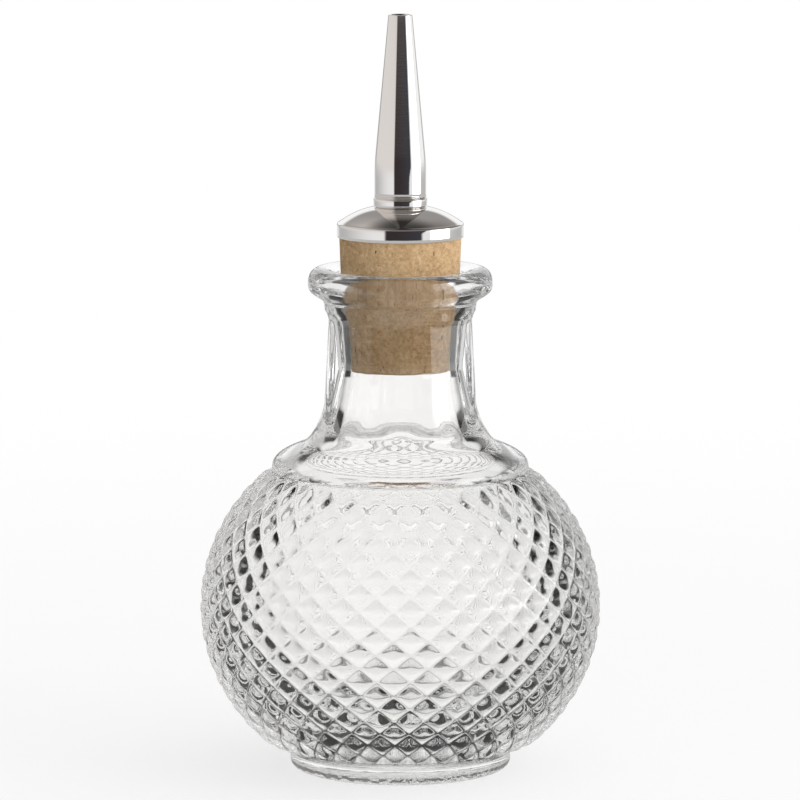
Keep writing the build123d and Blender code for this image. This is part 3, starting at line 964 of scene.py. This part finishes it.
floorBoard = {
    "radius": 500.0,
    "rings": (0.02, 0.2, 1.0),
    "columns": 96,
    "tints": ((0.90, 0.90, 0.895, 1), (0.93, 0.93, 0.93, 1)),
    "tintScale": 260.0,
    "glow": 0.72,            # share of plain white that it shows to the camera
    "glowReach": (0.10, 0.45),  # metres over which that rises to all
    "seenNear": 0.84,        # tones through the glass, at the bottle and further away: painted shade, darker near the bottle
    "seenFar": 1.0,
    "seenReach": (0.05, 0.15),
    "ringRadius": 0.0165,    # of the foot's contact, in metres
    "ringReach": (0.0015, 0.0045),
    "ringShadowTone": 0.30,        # share left there, a painted shadow of the foot's contact
    "mirrored": (0.55, 0.54, 0.53, 1),  # in the reflections on the object's outside, a painted shade of the floor
    "innerUnder": 0.90,      # inner reflections, painted light and shade: under the bottle, close round it, behind it, and further off in front, at the sides and behind
    "innerNear": 0.03,       # and further off in front, at the sides and behind
    "innerBack": 0.95,
    "farFront": 0.95,
    "farSide": 0.16,
    "farBack": 0.60,
    "farReach": (0.10, 0.20),
}


def floorGlow(f, place, reach, ray):
    # Tone of the floor for the rays that see it unlit: plain white for the camera, and painted
    # shade for the rest: whiter further away through the glass, grey in outside reflections,
    # and in inner reflections dark close to the bottle and at its sides.
    b = floorBoard
    aside = compass(f, place)[1]
    behind = f.ramp(aside, 138.0, 158.0)
    # Painted light and shade in inner reflections: light under the bottle, behind it and further off in
    # front, dark close round it and at its sides
    near = f.ramp(reach, 0.006, 0.014, b["innerUnder"], b["innerNear"])
    near = near + behind * (b["innerBack"] - near)
    far = f.ramp(aside, 42.0, 54.0, b["farFront"], b["farSide"])
    far = far + behind * (b["farBack"] - far)
    inner = near + f.ramp(reach, *b["farReach"]) * (far - near)
    # Painted shade: through the glass the floor is darker near the bottle and whiter further away
    seen = f.ramp(reach, *b["seenReach"], b["seenNear"], b["seenFar"])
    # Painted contact shadow: through the glass the floor is darkened in a ring under the foot
    fromRing = f.maths("ABSOLUTE", reach - b["ringRadius"])
    seen = seen * f.ramp(fromRing, *b["ringReach"], b["ringShadowTone"], 1.0)
    # Outside reflections see the floor at a painted grey, inner ones the painted light and shade above
    tone = f.blend(ray["mirrored"], seen, f.blend(ray["inGlass"], b["mirrored"], inner))
    return f.blend(ray["camera"], tone, grey(1.0))


def makeFloor():
    # Flat disc at the bottle's foot: a pale board that takes the light and the shadow, mixed
    # with a glow for the rays that should see it unlit, whose tones off camera are painted shade.
    b = floorBoard
    rings = np.array(b["rings"]) * b["radius"]
    points = turnedRings(np.stack([rings, 0 * rings], 1), ringTurns(b["columns"])).reshape(-1, 3)
    points = np.concatenate([points, [[0, 0, 0]]])
    step = np.arange(b["columns"])
    middle = np.stack([np.full(len(step), len(points) - 1), step, (step + 1) % len(step)], -1)
    outer = gridFaces(len(rings), b["columns"])[:, [0, 2, 1]]
    floor = makeMesh("floor", points, np.concatenate([middle, outer]))
    made, f, place = newMaterial("pale_floor")
    colour = f.blend(f.noise(place, b["tintScale"], 3.0), *b["tints"])
    board = f.add("ShaderNodeBsdfDiffuse", {}, {"Color": colour})
    ray, glossy = rayKinds(f), f.add("ShaderNodeLightPath", output="Is Glossy Ray")
    reach = f.add("ShaderNodeVectorMath", {"operation": "LENGTH"}, {0: place}, 1)
    tone = floorGlow(f, place, reach, ray)
    glow = f.add("ShaderNodeEmission", {}, {"Color": tone, "Strength": 1.0})
    share = ray["camera"] * f.ramp(reach, *b["glowReach"], b["glow"], 1.0)
    bounced = f.maths("MAXIMUM", glossy, ray["through"]) * (1 - ray["scattered"])
    share = f.maths("MAXIMUM", share, bounced)
    f.show(f.add("ShaderNodeMixShader", {}, {0: share, 1: board, 2: glow}))
    wear(floor, made)


keyLamp = {
    "place": (0.75, -0.45, 0.45),  # metres
    "aim": (0, 0, 0.06),
    "size": 0.45,
    "energy": 1.2,
    "colour": (1.0, 0.99, 0.97),
}


def softLamp(name, lampValues):
    # Square lamp turned to its aim, unseen itself. It gives the shadow and little else.
    lamp = bpy.data.lights.new(name, "AREA")
    lamp.shape, lamp.size = "SQUARE", lampValues["size"]
    lamp.energy, lamp.color = lampValues["energy"], lampValues["colour"]
    made = bpy.data.objects.new(name, lamp)
    made.location = lampValues["place"]
    ahead = np.array(lampValues["aim"]) - np.array(lampValues["place"])
    tilt = math.acos(-ahead[2] / np.linalg.norm(ahead))
    made.rotation_euler = (tilt, 0, math.atan2(ahead[1], ahead[0]) - math.pi / 2)
    made.visible_glossy = made.visible_transmission = made.visible_camera = False
    bpy.context.scene.collection.objects.link(made)


studioWorld()
makeFloor()
softLamp("key_lamp", keyLamp)
print("stage made")

bpy.context.scene.view_settings.view_transform = "Standard"
cycles = bpy.context.scene.cycles
cycles.max_bounces, cycles.transmission_bounces = 32, 32
cycles.glossy_bounces, cycles.diffuse_bounces = 24, 6

for piece, node, body, slotName in (
        (bottle, "glass_bottle", "bottle", "clear_glass"),
        (corkPiece, "cork_stopper", "stopper", "cork"),
        (capPiece, "dasher_cap", "stopper", "polished_metal"),
        (ferrulePiece, "spout_ferrule", "stopper", "polished_metal"),
        (spoutPiece, "spout_cone", "stopper", "polished_metal")):
    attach(piece, body)
    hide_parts(node)
